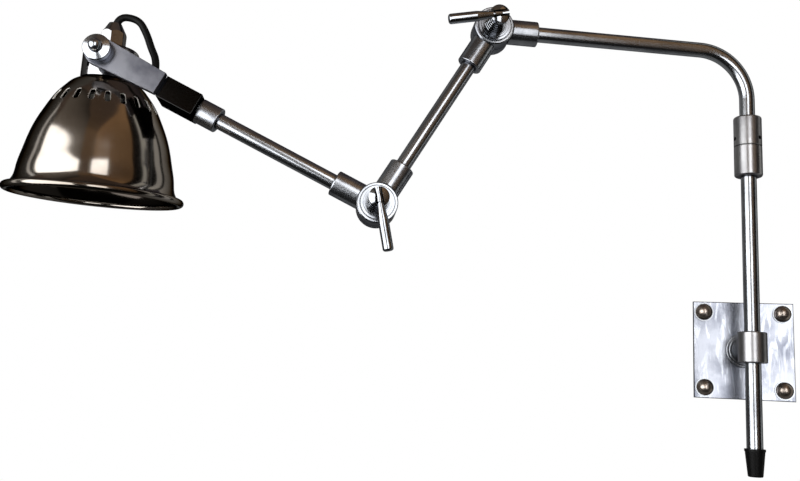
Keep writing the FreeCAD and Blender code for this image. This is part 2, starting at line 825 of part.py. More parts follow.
def shade_curves():
    """The shade's outer curve from the neck to the flare, and the inner one a wall thinner."""
    outer = [(shade_collar_radius, shade_top)] + shade_profile
    outer += [(rim_radius - 1.4, rim_drop - 2.0)]
    curve = spline(outer)
    inner = []
    for r, h in outer:
        spot = curve.parameter(FreeCAD.Vector(r, 0, -h))
        along = curve.tangent(spot)[0]
        inner.append((r + along.z * shade_wall, h + along.x * shade_wall))
    inner[0] = (shade_collar_radius - shade_wall, inner[0][1])
    return curve, spline(inner), outer, inner


def shade():
    curve, under, outer, inner = shade_curves()
    top = shade_top - shade_collar_rise
    collar_out = [FreeCAD.Vector(shade_collar_radius, 0, -h) for h in (top, shade_top)]
    collar_in = [
        FreeCAD.Vector(shade_collar_radius - shade_wall, 0, -h) for h in (inner[0][1], top)
    ]
    edges = [
        Part.makeLine(collar_out[0], collar_out[1]), curve.toShape(),
        Part.makeLine(curve.EndPoint, under.EndPoint), under.toShape(),
        Part.makeLine(collar_in[0], collar_in[1]), Part.makeLine(collar_in[1], collar_out[0]),
    ]
    wall = Part.Face(Part.Wire(Part.__sortEdges__(edges))).revolve(ORIGIN, Z, 360)
    bead = Part.makeTorus(rim_radius, bead_radius, Z * -rim_drop)
    body = wall.fuse(bead).removeSplitter()
    tool = slot_tool(vent_width, vent_length, 8.0)
    place = FreeCAD.Vector(0, -vent_radius + 3.0, -vent_drop)
    tool = put(tool, place, FreeCAD.Rotation(X, -(90.0 - vent_slope)))
    tools = []
    for index in range(vents):
        tools.append(put(tool, ORIGIN, FreeCAD.Rotation(Z, vent_turn + 360.0 * index / vents)))
    body = body.cut(Part.makeCompound(tools))
    return max(body.Solids, key=lambda s: s.Volume)


def cord_grip():
    flats = []
    for index in range(6):
        turn = math.radians(60 * index + 30)
        radius = grip_flats / 2 / math.cos(math.radians(30))
        flats.append(FreeCAD.Vector(radius * math.cos(turn), radius * math.sin(turn), 0))
    height = grip_height + grip_cone
    prism = Part.Face(Part.makePolygon(flats + flats[:1])).extrude(Z * height)
    turning = turned([
        (0, 0), (grip_flats / 2 + 0.6, 0), (grip_flats / 2 + 1.4, 1.0), (grip_flats / 2 + 1.4, grip_height - 1.5),
        (grip_flats / 2 - 0.6, grip_height + 1.5), (grip_top_radius, height), (0, height),
    ])
    grip = prism.common(turning)
    grip = grip.cut(rod(cord_radius + cord_clearance, height))
    return put(grip.cut(rod(nipple_radius, nipple_rise)), Z * neck_rise)


def threaded_nipple():
    foot = neck_rise - neck_wall - nipple_sink
    length = nipple_rise + neck_wall + nipple_sink
    return rod(nipple_radius - socket_clearance, length, Z * foot).cut(rod(nipple_bore, length, Z * foot))


def lampholder():
    top = -holder_top
    body = rod(holder_radius, top + holder_foot, Z * -holder_foot)
    body = soften(body, 2.5, circle_at(holder_radius, top))
    body = body.cut(rod(holder_bore, top + holder_foot - holder_floor, Z * -holder_foot))
    return body.cut(rod(nipple_radius, holder_floor, Z * (top - holder_floor)))


def shade_ring():
    disc = rod(holder_ring_radius, holder_ring, Z * (-holder_ring_top - holder_ring))
    return disc.cut(rod(holder_radius + socket_clearance, holder_ring, Z * (-holder_ring_top - holder_ring)))


def bulb_cap():
    cap = rod(bulb_cap_radius, holder_foot - bulb_cap_top, Z * -holder_foot)
    return soften(cap, 3.0, lambda e: isinstance(e.Curve, Part.Circle) and e.CenterOfMass.z > 0)


def bulb_glass():
    """A hollow pear-shaped envelope below the screw cap."""
    neck = holder_foot
    globe = bulb_globe_drop
    skins = []
    for inset in (0.0, bulb_wall):
        radius = bulb_globe_radius - inset
        side = Part.BSplineCurve()
        side.interpolate([
            FreeCAD.Vector(bulb_neck_radius - inset, 0, -neck - inset),
            FreeCAD.Vector(bulb_neck_radius + 2.5 - inset, 0, -neck - 12),
            FreeCAD.Vector(bulb_globe_radius - 3.5 - inset, 0, -globe + 16),
            FreeCAD.Vector(radius, 0, -globe),
        ])
        bow = Part.Arc(
            FreeCAD.Vector(radius, 0, -globe),
            FreeCAD.Vector(radius * math.sin(math.radians(45)), 0, -globe - radius * math.sin(math.radians(45))),
            FreeCAD.Vector(0, 0, -globe - radius),
        )
        axis = Part.makeLine(Z * (-globe - radius), Z * (-neck - inset))
        lid = Part.makeLine(Z * (-neck - inset), FreeCAD.Vector(bulb_neck_radius - inset, 0, -neck - inset))
        face = Part.Face(Part.Wire([side.toShape(), bow.toShape(), axis, lid]))
        skins.append(face.revolve(ORIGIN, Z, 360))
    return skins[0].cut(skins[1])


# ---- head lead ----

def head_cord():
    """Straight runs joined by tangent arcs, each as large as its two runs allow."""
    points = [FreeCAD.Vector(*p) for p in cord_route]
    edges = []
    start = points[0]
    radii = []
    for before, corner, after in zip(points, points[1:], points[2:]):
        back = before - corner
        ahead = after - corner
        shorter = min(back.Length, ahead.Length)
        back.normalize()
        ahead.normalize()
        turn = math.pi - back.getAngle(ahead)
        trim = 0.45 * shorter
        radius = trim / math.tan(turn / 2)
        radii.append(round(radius, 1))
        entry = corner + back * trim
        leave = corner + ahead * trim
        inward = back + ahead
        inward.normalize()
        centre = corner + inward * (radius / math.cos(turn / 2))
        middle = centre - inward * radius
        edges.append(Part.LineSegment(start, entry).toShape())
        edges.append(Part.Arc(entry, middle, leave).toShape())
        start = leave
    edges.append(Part.LineSegment(start, points[-1]).toShape())
    path = Part.Wire(edges)
    ring = Part.Wire(Part.Circle(points[0], points[1] - points[0], cord_radius).toShape())
    tube = path.makePipeShell([ring], True, False)
    print("head lead radii", radii, "length", round(path.Length, 1))
    print("head lead volume over section times length", round(tube.Volume / (math.pi * cord_radius ** 2 * path.Length), 4))
    return tube


def group(solids):
    return Part.makeCompound(solids)


def main():
    os.makedirs("parts", exist_ok=True)
    save("wall_plate", wall_plate())
    save("wall_studs", group(wall_studs()))
    save("plate_washers", group(plate_washers()))
    save("dome_nuts", group(dome_nuts()))
    save("bracket_flange", bracket_flange())
    save("bracket_stem", bracket_stem())
    save("stem_bolt", stem_bolt())
    save("pole_collar", pole_collar())
    save("collar_set_screw", collar_set_screw())

    save("pole_tube", pole_tube(), ARM)
    save("end_gland", end_gland(), ARM)
    save("lower_barrel", lower_barrel(), ARM)
    save("swivel_spigot", swivel_spigot(), ARM)
    save("swivel_washer", swivel_washer(), ARM)
    save("upper_barrel", upper_barrel(), ARM)
    save("swivel_set_screws", group(swivel_set_screws()), ARM)
    save("upper_tube", upper_tube(), ARM)
    save("middle_tube", middle_tube(), ARM)
    save("lower_tube", lower_tube(), ARM)

    elbows = [
        ("upper", elbow_up, 0.0, middle_slope - 180, True, upper_lever_turn),
        ("lower", elbow_low, middle_slope, 180 - lower_slope, False, lower_lever_turn),
    ]
    for name, centre, first, second, middle_in_front, lever_turn in elbows:
        # the upper elbow carries the middle arm in front, the lower elbow the lower arm
        save(name + "_rear_knuckle", put(knuckle(False), *about(centre, first)), ARM)
        save(name + "_front_knuckle", put(knuckle(True), *about(centre, second)), ARM)
        save(name + "_friction_washer", put(friction_washer(), centre), ARM)
        save(name + "_pivot_bolt", put(elbow_bolt(), centre), ARM)
        save(name + "_ring_washer", put(ring_washer(), centre), ARM)
        lever = clamp_lever()
        save(name + "_clamp_lever", put(lever, *about(centre, lever_turn)), ARM)
        save(name + "_clamp_nut", put(clamp_nut(lever), *about(centre, lever_turn)), ARM)

    run = about(pivot, -lower_slope)
    save("end_ferrule", put(end_ferrule(), *run), ARM)
    save("end_block", put(end_block(), *run), ARM)
    save("head_bar", put(head_bar(), *run), ARM)
    save("bar_screws", put(group(bar_screws()), *run), ARM)
    save("cord_bush", put(cord_bush(), *run), ARM)
    save("pivot_boss", put(pivot_boss(), pivot), ARM)
    save("pivot_washer", put(pivot_washer(), pivot), ARM)
    save("pivot_bolt", put(pivot_bolt(), pivot), ARM)
    save("pivot_knob", put(pivot_knob(), pivot), ARM)
    save("head_cord", head_cord(), ARM)

    save("neck_cap", neck_cap(), HEAD)
    save("shade", shade(), HEAD)
    save("cord_grip", cord_grip(), HEAD)
    save("threaded_nipple", threaded_nipple(), HEAD)
    save("lampholder", lampholder(), HEAD)
    save("shade_ring", shade_ring(), HEAD)
    save("bulb_cap", bulb_cap(), HEAD)
    save("bulb_glass", bulb_glass(), HEAD)


main()
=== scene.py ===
import json
import math

import bmesh
import bpy
from mathutils import Matrix, Vector
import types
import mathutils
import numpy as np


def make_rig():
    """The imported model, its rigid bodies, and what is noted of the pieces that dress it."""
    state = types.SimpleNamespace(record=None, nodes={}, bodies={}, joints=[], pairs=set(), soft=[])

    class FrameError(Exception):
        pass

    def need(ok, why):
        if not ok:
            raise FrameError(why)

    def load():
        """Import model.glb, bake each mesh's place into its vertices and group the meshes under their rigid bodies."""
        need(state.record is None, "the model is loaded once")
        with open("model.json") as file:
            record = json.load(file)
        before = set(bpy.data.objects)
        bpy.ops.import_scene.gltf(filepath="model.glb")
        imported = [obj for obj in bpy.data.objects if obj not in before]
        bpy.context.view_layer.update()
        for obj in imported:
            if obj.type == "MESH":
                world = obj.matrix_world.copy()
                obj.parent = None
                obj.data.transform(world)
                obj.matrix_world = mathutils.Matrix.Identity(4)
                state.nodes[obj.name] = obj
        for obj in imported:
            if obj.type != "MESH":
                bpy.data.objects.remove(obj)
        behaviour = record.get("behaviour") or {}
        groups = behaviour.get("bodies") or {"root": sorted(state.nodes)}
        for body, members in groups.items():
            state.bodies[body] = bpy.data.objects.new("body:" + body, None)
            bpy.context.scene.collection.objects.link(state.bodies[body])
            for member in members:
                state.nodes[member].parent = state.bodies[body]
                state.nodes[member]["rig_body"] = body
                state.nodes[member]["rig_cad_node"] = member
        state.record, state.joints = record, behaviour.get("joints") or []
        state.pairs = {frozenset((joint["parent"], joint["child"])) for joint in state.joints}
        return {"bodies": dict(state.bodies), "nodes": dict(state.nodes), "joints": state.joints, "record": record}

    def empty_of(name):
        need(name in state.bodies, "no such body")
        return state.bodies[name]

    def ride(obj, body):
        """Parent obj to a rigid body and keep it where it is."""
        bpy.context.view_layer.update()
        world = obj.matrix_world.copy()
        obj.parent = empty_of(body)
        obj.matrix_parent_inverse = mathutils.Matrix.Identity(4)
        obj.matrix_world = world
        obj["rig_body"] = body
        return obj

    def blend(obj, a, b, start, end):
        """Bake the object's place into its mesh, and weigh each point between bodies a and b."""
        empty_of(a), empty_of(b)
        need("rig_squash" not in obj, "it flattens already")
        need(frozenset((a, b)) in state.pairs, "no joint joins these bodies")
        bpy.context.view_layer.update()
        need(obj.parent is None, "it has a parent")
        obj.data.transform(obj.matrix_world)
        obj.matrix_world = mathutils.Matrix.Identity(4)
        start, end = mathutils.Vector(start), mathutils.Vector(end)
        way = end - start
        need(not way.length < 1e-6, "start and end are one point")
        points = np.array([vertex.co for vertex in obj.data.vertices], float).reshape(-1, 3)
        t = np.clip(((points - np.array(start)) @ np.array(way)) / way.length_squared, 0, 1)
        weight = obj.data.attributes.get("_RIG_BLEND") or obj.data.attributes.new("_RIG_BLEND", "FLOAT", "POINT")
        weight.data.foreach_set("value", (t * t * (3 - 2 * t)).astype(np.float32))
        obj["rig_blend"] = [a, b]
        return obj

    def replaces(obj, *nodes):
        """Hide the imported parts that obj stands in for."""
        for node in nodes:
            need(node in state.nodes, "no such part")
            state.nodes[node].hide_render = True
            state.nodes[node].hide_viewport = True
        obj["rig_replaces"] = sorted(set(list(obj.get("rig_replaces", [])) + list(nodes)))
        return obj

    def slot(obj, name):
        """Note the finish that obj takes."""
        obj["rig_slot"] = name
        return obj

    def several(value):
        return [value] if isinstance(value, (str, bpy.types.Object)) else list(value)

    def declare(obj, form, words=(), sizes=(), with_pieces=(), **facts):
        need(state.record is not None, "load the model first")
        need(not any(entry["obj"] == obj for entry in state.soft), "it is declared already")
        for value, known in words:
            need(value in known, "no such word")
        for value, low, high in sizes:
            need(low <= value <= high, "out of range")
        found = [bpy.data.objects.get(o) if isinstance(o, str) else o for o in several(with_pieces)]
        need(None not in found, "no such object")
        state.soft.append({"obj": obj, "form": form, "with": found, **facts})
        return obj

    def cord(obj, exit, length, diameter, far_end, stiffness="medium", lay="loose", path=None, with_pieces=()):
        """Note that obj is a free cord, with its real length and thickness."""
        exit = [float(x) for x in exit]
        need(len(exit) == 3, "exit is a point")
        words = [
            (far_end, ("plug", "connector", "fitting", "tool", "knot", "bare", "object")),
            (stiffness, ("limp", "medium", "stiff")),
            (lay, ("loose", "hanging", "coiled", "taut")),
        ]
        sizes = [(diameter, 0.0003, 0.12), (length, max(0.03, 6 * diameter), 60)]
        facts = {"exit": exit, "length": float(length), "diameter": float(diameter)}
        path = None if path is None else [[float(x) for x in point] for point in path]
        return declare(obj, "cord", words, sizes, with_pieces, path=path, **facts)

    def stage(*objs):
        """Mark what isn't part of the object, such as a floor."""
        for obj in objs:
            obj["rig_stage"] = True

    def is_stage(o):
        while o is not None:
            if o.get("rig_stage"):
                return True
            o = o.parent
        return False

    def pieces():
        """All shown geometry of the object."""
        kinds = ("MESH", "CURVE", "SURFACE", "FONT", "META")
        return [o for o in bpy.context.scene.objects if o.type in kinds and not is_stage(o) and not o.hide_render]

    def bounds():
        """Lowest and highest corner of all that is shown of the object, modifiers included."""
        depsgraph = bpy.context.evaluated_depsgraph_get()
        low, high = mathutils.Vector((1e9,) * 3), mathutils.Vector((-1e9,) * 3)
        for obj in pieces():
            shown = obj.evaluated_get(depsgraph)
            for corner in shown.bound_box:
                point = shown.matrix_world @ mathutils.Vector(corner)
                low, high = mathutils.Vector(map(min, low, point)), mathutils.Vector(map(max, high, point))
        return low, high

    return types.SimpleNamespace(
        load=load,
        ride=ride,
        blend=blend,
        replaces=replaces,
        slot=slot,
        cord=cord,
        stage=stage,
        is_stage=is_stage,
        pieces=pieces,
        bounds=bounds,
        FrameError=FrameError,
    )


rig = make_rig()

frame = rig.load()
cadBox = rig.bounds()
print("frame loaded")

scene = bpy.context.scene
metre = 1000  # in millimetres, which the sizes of the lamp are written in
toMetres = Matrix.Scale(1 / metre, 4)


def turnAbout(degrees, axis):
    return Matrix.Rotation(math.radians(degrees), 4, axis)


def addObject(name, data):
    thing = bpy.data.objects.new(name, data)
    scene.collection.objects.link(thing)
    return thing


def plainMesh(thing):
    # what its modifiers or its curve settings make of it, as a mesh of its own
    bpy.context.view_layer.update()
    depsgraph = bpy.context.evaluated_depsgraph_get()
    return bpy.data.meshes.new_from_object(thing.evaluated_get(depsgraph))


def smoothFaces(mesh):
    for face in mesh.polygons:
        face.use_smooth = True


# where things are, repeated from the part's source, in millimetres and degrees
arm = {"standoff": 72.0, "swing": 19.0, "upperReach": 266.3, "upperHeight": 300.0,
       "middleLength": 213.2, "middleSlope": 60.7, "lowerLength": 287.5, "lowerSlope": 24.6,
       "headTilt": 1.0, "headLean": 4.5, "headSetBack": 15.5}

middleRun = math.radians(arm["middleSlope"])
lowerRun = math.radians(arm["lowerSlope"])
elbowUp = Vector((-arm["upperReach"], 0, arm["upperHeight"]))
elbowLow = elbowUp - arm["middleLength"] * Vector((math.cos(middleRun), 0, math.sin(middleRun)))
headPivot = elbowLow + arm["lowerLength"] * Vector((-math.cos(lowerRun), 0, math.sin(lowerRun)))
# the arm swings about the pole: -X runs out along the arm and -Y faces the viewer
armPlace = Matrix.Translation((0, -arm["standoff"], 0)) @ turnAbout(arm["swing"], "Z")
headPlace = (armPlace @ Matrix.Translation(headPivot + Vector((0, arm["headSetBack"], 0)))
             @ turnAbout(arm["headTilt"], "Y") @ turnAbout(arm["headLean"], "X"))

# the camera, solved from the plate and the straight tubes: millimetres, degrees and pixels
view = {"place": (-121.39, -963.56, -48.09), "yaw": -12.60, "pitch": 11.10, "roll": 2.75,
        "focalPixels": 865.83, "centre": (435.01, 213.05), "frame": (800, 481), "sensor": 36.0}


def addCamera():
    yaw, pitch, roll = (math.radians(view[k]) for k in ("yaw", "pitch", "roll"))
    ahead = Vector((math.sin(yaw) * math.cos(pitch), math.cos(yaw) * math.cos(pitch),
                    math.sin(pitch)))
    level = Vector((math.cos(yaw), -math.sin(yaw), 0))
    upright = level.cross(ahead)
    right = math.cos(roll) * level + math.sin(roll) * upright
    up = -math.sin(roll) * level + math.cos(roll) * upright
    camera = addObject("camera", bpy.data.cameras.new("camera"))
    turn = Matrix((right, up, -ahead)).transposed().to_4x4()
    camera.matrix_world = Matrix.Translation(toMetres @ Vector(view["place"])) @ turn
    wide, high = view["frame"]
    camera.data.sensor_width = view["sensor"]
    camera.data.lens = view["focalPixels"] * view["sensor"] / wide
    camera.data.shift_x = (wide / 2 - view["centre"][0]) / wide
    camera.data.shift_y = (view["centre"][1] - high / 2) / wide
    scene.camera = camera


addCamera()
print("camera placed")


def linearColour(text):
    # sRGB hex to the linear values that sockets take
    channels = [int(text[i:i + 2], 16) / 255 for i in (1, 3, 5)]
    linear = [c / 12.92 if c <= 0.04045 else ((c + 0.055) / 1.055) ** 2.4 for c in channels]
    return (*linear, 1.0)


def addNode(tree, kind, settings=None, **links):
    # a link or value is named for its socket, or i0, i1, i2 where sockets share a name
    node = tree.nodes.new(kind)
    for key, value in (settings or {}).items():
        setattr(node, key, value)
    for key, value in links.items():
        numbered = key[0] == "i" and key[1:].isdigit()
        socket = node.inputs[int(key[1:]) if numbered else key.replace("_", " ")]
        if isinstance(value, bpy.types.NodeSocket):
            tree.links.new(value, socket)
        else:
            socket.default_value = value
    return node


def newMaterial(name):
    material = bpy.data.materials.new(name)
    material.use_nodes = True
    material.node_tree.nodes.clear()
    return material, material.node_tree


# what handling does to every metal: where its clouds turn to stain and how the roughness of a
# polish spreads about its own value; and the painted shade of grooves, as shares of open sky
wearAndGrooveShade = {"stainFrom": 0.42, "stainTo": 0.72, "roughSpread": (0.7, 1.4),
        "grooveTone": "#1d1c1b", "grooveFrom": 0.3, "grooveTo": 0.85, "grooveSamples": 6}


def metalShader(tree, settings, colour, rough, height):
    bump = addNode(tree, "ShaderNodeBump", Strength=settings["relief"],
                   Distance=settings["depth"], Height=height)
    return addNode(tree, "ShaderNodeBsdfPrincipled", Metallic=1.0, Base_Color=colour,
                   Specular_Tint=linearColour(settings["edge"]), Roughness=rough,
                   Normal=bump.outputs["Normal"])


def tarnish(tree, place, settings):
    # the metal's own colour, clouded over with its stain
    cloud = addNode(tree, "ShaderNodeTexNoise", Vector=place, Scale=settings["cloud"],
                    Detail=4.0)
    stain = addNode(tree, "ShaderNodeMapRange", Value=cloud.outputs["Fac"],
                    From_Min=wearAndGrooveShade["stainFrom"], From_Max=wearAndGrooveShade["stainTo"])
    mix = addNode(tree, "ShaderNodeMix", {"data_type": "RGBA"}, Factor=stain.outputs["Result"],
                  A=linearColour(settings["colour"]), B=linearColour(settings["stain"]))
    return mix.outputs["Result"], cloud.outputs["Fac"]


def paintedGrooveShade(tree, colour, settings):
    # painted shade: where a step or a seam sees little open sky, its colour is painted darker
    near = addNode(tree, "ShaderNodeAmbientOcclusion", {"samples": wearAndGrooveShade["grooveSamples"]},
                   Distance=settings["reach"])
    bare = addNode(tree, "ShaderNodeMapRange", Value=near.outputs["AO"],
                   From_Min=wearAndGrooveShade["grooveFrom"], From_Max=wearAndGrooveShade["grooveTo"])
    mix = addNode(tree, "ShaderNodeMix", {"data_type": "RGBA"}, Factor=bare.outputs["Result"],
                  A=linearColour(wearAndGrooveShade["grooveTone"]), B=colour)
    return mix.outputs["Result"]


def polishedMetal(name, settings):
    material, tree = newMaterial(name)
    place = addNode(tree, "ShaderNodeTexCoord").outputs["Object"]
    colour, cloud = tarnish(tree, place, settings)
    colour = paintedGrooveShade(tree, colour, settings)
    ripple = addNode(tree, "ShaderNodeTexNoise", Vector=place, Scale=settings["ripple"],
                     Detail=2.0)
    least, most = wearAndGrooveShade["roughSpread"]
    rough = addNode(tree, "ShaderNodeMapRange", Value=cloud,
                    To_Min=settings["rough"] * least, To_Max=settings["rough"] * most)
    shader = metalShader(tree, settings, colour, rough.outputs["Result"], ripple.outputs["Fac"])
    addNode(tree, "ShaderNodeOutputMaterial", Surface=shader.outputs[0])
    return material


# In every metal, cloud and ripple are patches per metre: 28 is a cloud of about 36 mm, and
# 140 a ripple of about 7 mm. Depth of relief and the reach of the painted groove shade are in metres.

# polished nickel on drawn tube: soft-edged streaks, because the buffing leaves very fine lines
nickelSettings = {"colour": "#c0c4ca", "stain": "#9b9ea4", "edge": "#8c8c8e", "rough": 0.2,
                  "cloud": 28.0, "ripple": 140.0, "relief": 0.05, "depth": 0.0003,
                  "reach": 0.003}
# cast and polished aluminium: duller still, and slightly uneven from the mould
castSettings = {"colour": "#bdc1c7", "stain": "#90939a", "edge": "#7f7f82", "rough": 0.24,
                "cloud": 60.0, "ripple": 190.0, "relief": 0.12, "depth": 0.0005,
                "reach": 0.003}
# head fittings in the same nickel, buffed brighter than the tube
fittingSettings = {"colour": "#b3b3b4", "stain": "#87878a", "edge": "#77736e", "rough": 0.12,
                   "cloud": 40.0, "ripple": 90.0, "relief": 0.05, "depth": 0.0003,
                   "reach": 0.003}
# clamp nuts, levers and ring washers: bright turned steps; their painted shade reaches further
clampSettings = {"colour": "#b4b8be", "stain": "#8d9096", "edge": "#7f7f82", "rough": 0.13,
                 "cloud": 60.0, "ripple": 190.0, "relief": 0.04, "depth": 0.0003,
                 "reach": 0.005}
# barrels and collar turned and left satin, so that their streaks are broad and soft
turnedSettings = {"colour": "#b9b9bb", "stain": "#98989b", "edge": "#808083", "rough": 0.3,
                  "cloud": 50.0, "ripple": 160.0, "relief": 0.05, "depth": 0.0003,
                  "reach": 0.003}
# pewter-coloured plate on the dome nuts: brownish, with small bright spots of light
pewterSettings = {"colour": "#c4b8ae", "stain": "#91867d", "edge": "#5c5550", "rough": 0.3,
                  "cloud": 160.0, "ripple": 500.0, "relief": 0.15, "depth": 0.0004,
                  "reach": 0.003}
# dark plated block: nearly black, with a faint cloudy sheen
blockSettings = {"colour": "#2e2e2e", "stain": "#1d1d1d", "edge": "#383736", "rough": 0.13,
                 "cloud": 40.0, "ripple": 120.0, "relief": 0.05, "depth": 0.0003,
                 "reach": 0.003}
# zinc-plated fasteners: plain grey
steelSettings = {"colour": "#a8a8a6", "stain": "#8d8c89", "edge": "#777674", "rough": 0.28,
                 "cloud": 90.0, "ripple": 600.0, "relief": 0.2, "depth": 0.0002,
                 "reach": 0.003}
# blackened set screws
blackSettings = {"colour": "#2a2a2a", "stain": "#161616", "edge": "#202020", "rough": 0.35,
                 "cloud": 200.0, "ripple": 800.0, "relief": 0.2, "depth": 0.0002,
                 "reach": 0.003}
# machined brass inside the head: warm, with turning marks too fine to see
brassSettings = {"colour": "#b99455", "stain": "#8f6d3a", "edge": "#9a7a45", "rough": 0.25,
                 "cloud": 120.0, "ripple": 500.0, "relief": 0.15, "depth": 0.0002,
                 "reach": 0.003}

nickel = polishedMetal("polishedNickelPlate", nickelSettings)
castMetal = polishedMetal("polishedCastAluminium", castSettings)
fittingMetal = polishedMetal("buffedNickelFitting", fittingSettings)
clampMetal = polishedMetal("turnedClampMetal", clampSettings)
turnedMetal = polishedMetal("satinTurnedBarrel", turnedSettings)
pewter = polishedMetal("darkPewterNut", pewterSettings)
blockMetal = polishedMetal("darkPolishedBlock", blockSettings)
steel = polishedMetal("zincPlatedSteel", steelSettings)
black = polishedMetal("blackenedSteel", blackSettings)
brass = polishedMetal("machinedBrass", brassSettings)

# spun shade: fine rings about its own axis and warm stains; the inside takes a painted shade and
# the cut edges of the slots a painted highlight
shadeSettings = {"colour": "#aaa39b", "stain": "#7f756b", "edge": "#3a352f", "rough": 0.12,
                 "cloud": 16.0, "ripple": 45.0, "relief": 0.03, "depth": 0.0003,
                 "ringsPerMetre": 1500.0, "ringRelief": 0.06, "roughSpread": (0.6, 1.6),
                 "insideTone": "#45403b", "edgeTone": "#f2efe9", "edgeRough": 0.45}


def spunMetal(name, settings):
    material, tree = newMaterial(name)
    place = addNode(tree, "ShaderNodeTexCoord").outputs["Object"]
    colour = tarnish(tree, place, settings)[0]
    along = headPlace.to_3x3() @ Vector((0, 0, 1))
    height = addNode(tree, "ShaderNodeVectorMath", {"operation": "DOT_PRODUCT"},
                     i0=place, i1=tuple(along))
    line = addNode(tree, "ShaderNodeCombineXYZ", Z=height.outputs["Value"])
    rings = addNode(tree, "ShaderNodeTexNoise", Vector=line.outputs[0],
                    Scale=settings["ringsPerMetre"], Detail=2.0)
    ripple = addNode(tree, "ShaderNodeTexNoise", Vector=place, Scale=settings["ripple"],
                     Detail=1.0)
    relief = addNode(tree, "ShaderNodeMath", {"operation": "MULTIPLY_ADD"},
                     i0=rings.outputs["Fac"], i1=settings["ringRelief"],
                     i2=ripple.outputs["Fac"])
    # each region is a face attribute of the shade, and the slots' cut edges come last: the inside
    # is painted darker as painted shade, and the cut edges almost white as a painted highlight
    for region, tone in (("inside", settings["insideTone"]), ("bareEdge", settings["edgeTone"])):
        where = addNode(tree, "ShaderNodeAttribute", {"attribute_name": region})
        mix = addNode(tree, "ShaderNodeMix", {"data_type": "RGBA"},
                      Factor=where.outputs["Fac"], A=colour, B=linearColour(tone))
        colour = mix.outputs["Result"]
    least, most = settings["roughSpread"]
    rough = addNode(tree, "ShaderNodeMapRange", Value=rings.outputs["Fac"],
                    To_Min=settings["rough"] * least, To_Max=settings["rough"] * most)
    cutRough = addNode(tree, "ShaderNodeMath", {"operation": "MULTIPLY_ADD"},
                       i0=where.outputs["Fac"], i1=settings["edgeRough"],
                       i2=rough.outputs["Result"])
    shader = metalShader(tree, settings, colour, cutRough.outputs[0], relief.outputs[0])
    addNode(tree, "ShaderNodeOutputMaterial", Surface=shader.outputs[0])
    return material


shadeMetal = spunMetal("darkMirrorPlate", shadeSettings)

# bar: satin brushed along its length, with grey mottling where hands have rubbed it
satinSettings = {"colour": "#8c8e96", "stain": "#5f616b", "edge": "#9a9ca0", "rough": 0.3,
                 "cloud": 38.0, "grain": 2600.0, "grainStretch": 0.03,
                 "roughSpread": (0.75, 1.3), "relief": 0.08, "depth": 0.0002}


def brushedMetal(name, settings):
    material, tree = newMaterial(name)
    place = addNode(tree, "ShaderNodeTexCoord").outputs["Object"]
    colour, cloud = tarnish(tree, place, settings)
    # the grain runs along the bar, in the arm's plane
    turned = addNode(tree, "ShaderNodeMapping", Vector=place,
                     Rotation=(0.0, lowerRun, -math.radians(arm["swing"])),
                     Scale=(settings["grainStretch"], 1.0, 1.0))
    grain = addNode(tree, "ShaderNodeTexNoise", Vector=turned.outputs[0],
                    Scale=settings["grain"], Detail=2.0)
    least, most = settings["roughSpread"]
    rough = addNode(tree, "ShaderNodeMapRange", Value=cloud,
                    To_Min=settings["rough"] * least, To_Max=settings["rough"] * most)
    shader = metalShader(tree, settings, colour, rough.outputs["Result"], grain.outputs["Fac"])
    addNode(tree, "ShaderNodeOutputMaterial", Surface=shader.outputs[0])
    return material


satin = brushedMetal("satinBrushedBar", satinSettings)

# wall plate: the same metal polished by hand, with crossed swirls and a cool grey cast
plateSettings = {"colour": "#9c9fa8", "stain": "#737783", "edge": "#90959f", "rough": 0.2,
                 "cloud": 36.0, "relief": 0.1, "depth": 0.0003, "roughSpread": (0.6, 1.5),
                 "swirl": 150.0, "swirlTurn": 0.9, "swirlStretch": 0.2, "swirlTwist": 1.2,
                 "pale": "#c9cdd6", "paleFrom": 0.5, "paleTo": 0.75}


def swirledMetal(name, settings):
    material, tree = newMaterial(name)
    place = addNode(tree, "ShaderNodeTexCoord").outputs["Object"]
    colour, cloud = tarnish(tree, place, settings)
    turned = addNode(tree, "ShaderNodeMapping", Vector=place,
                     Rotation=(0.0, settings["swirlTurn"], 0.0),
                     Scale=(1.0, 1.0, settings["swirlStretch"]))
    swirl = addNode(tree, "ShaderNodeTexNoise", Vector=turned.outputs[0],
                    Scale=settings["swirl"], Detail=3.0, Distortion=settings["swirlTwist"])
    pale = addNode(tree, "ShaderNodeMapRange", Value=swirl.outputs["Fac"],
                   From_Min=settings["paleFrom"], From_Max=settings["paleTo"])
    mix = addNode(tree, "ShaderNodeMix", {"data_type": "RGBA"}, Factor=pale.outputs["Result"],
                  A=colour, B=linearColour(settings["pale"]))
    least, most = settings["roughSpread"]
    rough = addNode(tree, "ShaderNodeMapRange", Value=cloud,
                    To_Min=settings["rough"] * least, To_Max=settings["rough"] * most)
    shader = metalShader(tree, settings, mix.outputs["Result"], rough.outputs["Result"],
                         swirl.outputs["Fac"])
    addNode(tree, "ShaderNodeOutputMaterial", Surface=shader.outputs[0])
    return material


plateMetal = swirledMetal("handPolishedPlate", plateSettings)

# matt black nylon of the cable gland, faintly speckled by the mould
glandSettings = {"colour": "#050505", "stain": "#0d0d0d", "rough": 0.42,
                 "grain": 1400.0, "relief": 0.3}
# bakelite of the lampholder: brown-black, and smoother than the rest
bakeliteSettings = {"colour": "#15100d", "stain": "#1f1813", "rough": 0.3,
                    "grain": 300.0, "relief": 0.1}
# pressed fibre washers: dull grey-brown
fibreSettings = {"colour": "#2a2622", "stain": "#3c352e", "rough": 0.7,
                 "grain": 1800.0, "relief": 0.4}
# the lead's smooth black sheath
sheathSettings = {"colour": "#050505", "stain": "#0c0c0c", "rough": 0.45,
                  "grain": 900.0, "relief": 0.25}
# frosted glass, shown as an even warm white
glassSettings = {"colour": "#e4e1da", "stain": "#efece6", "rough": 0.4,
                 "grain": 80.0, "relief": 0.05}
# what these plain surfaces share
plainSurface = {"sheen": 0.15, "depth": 0.0002}


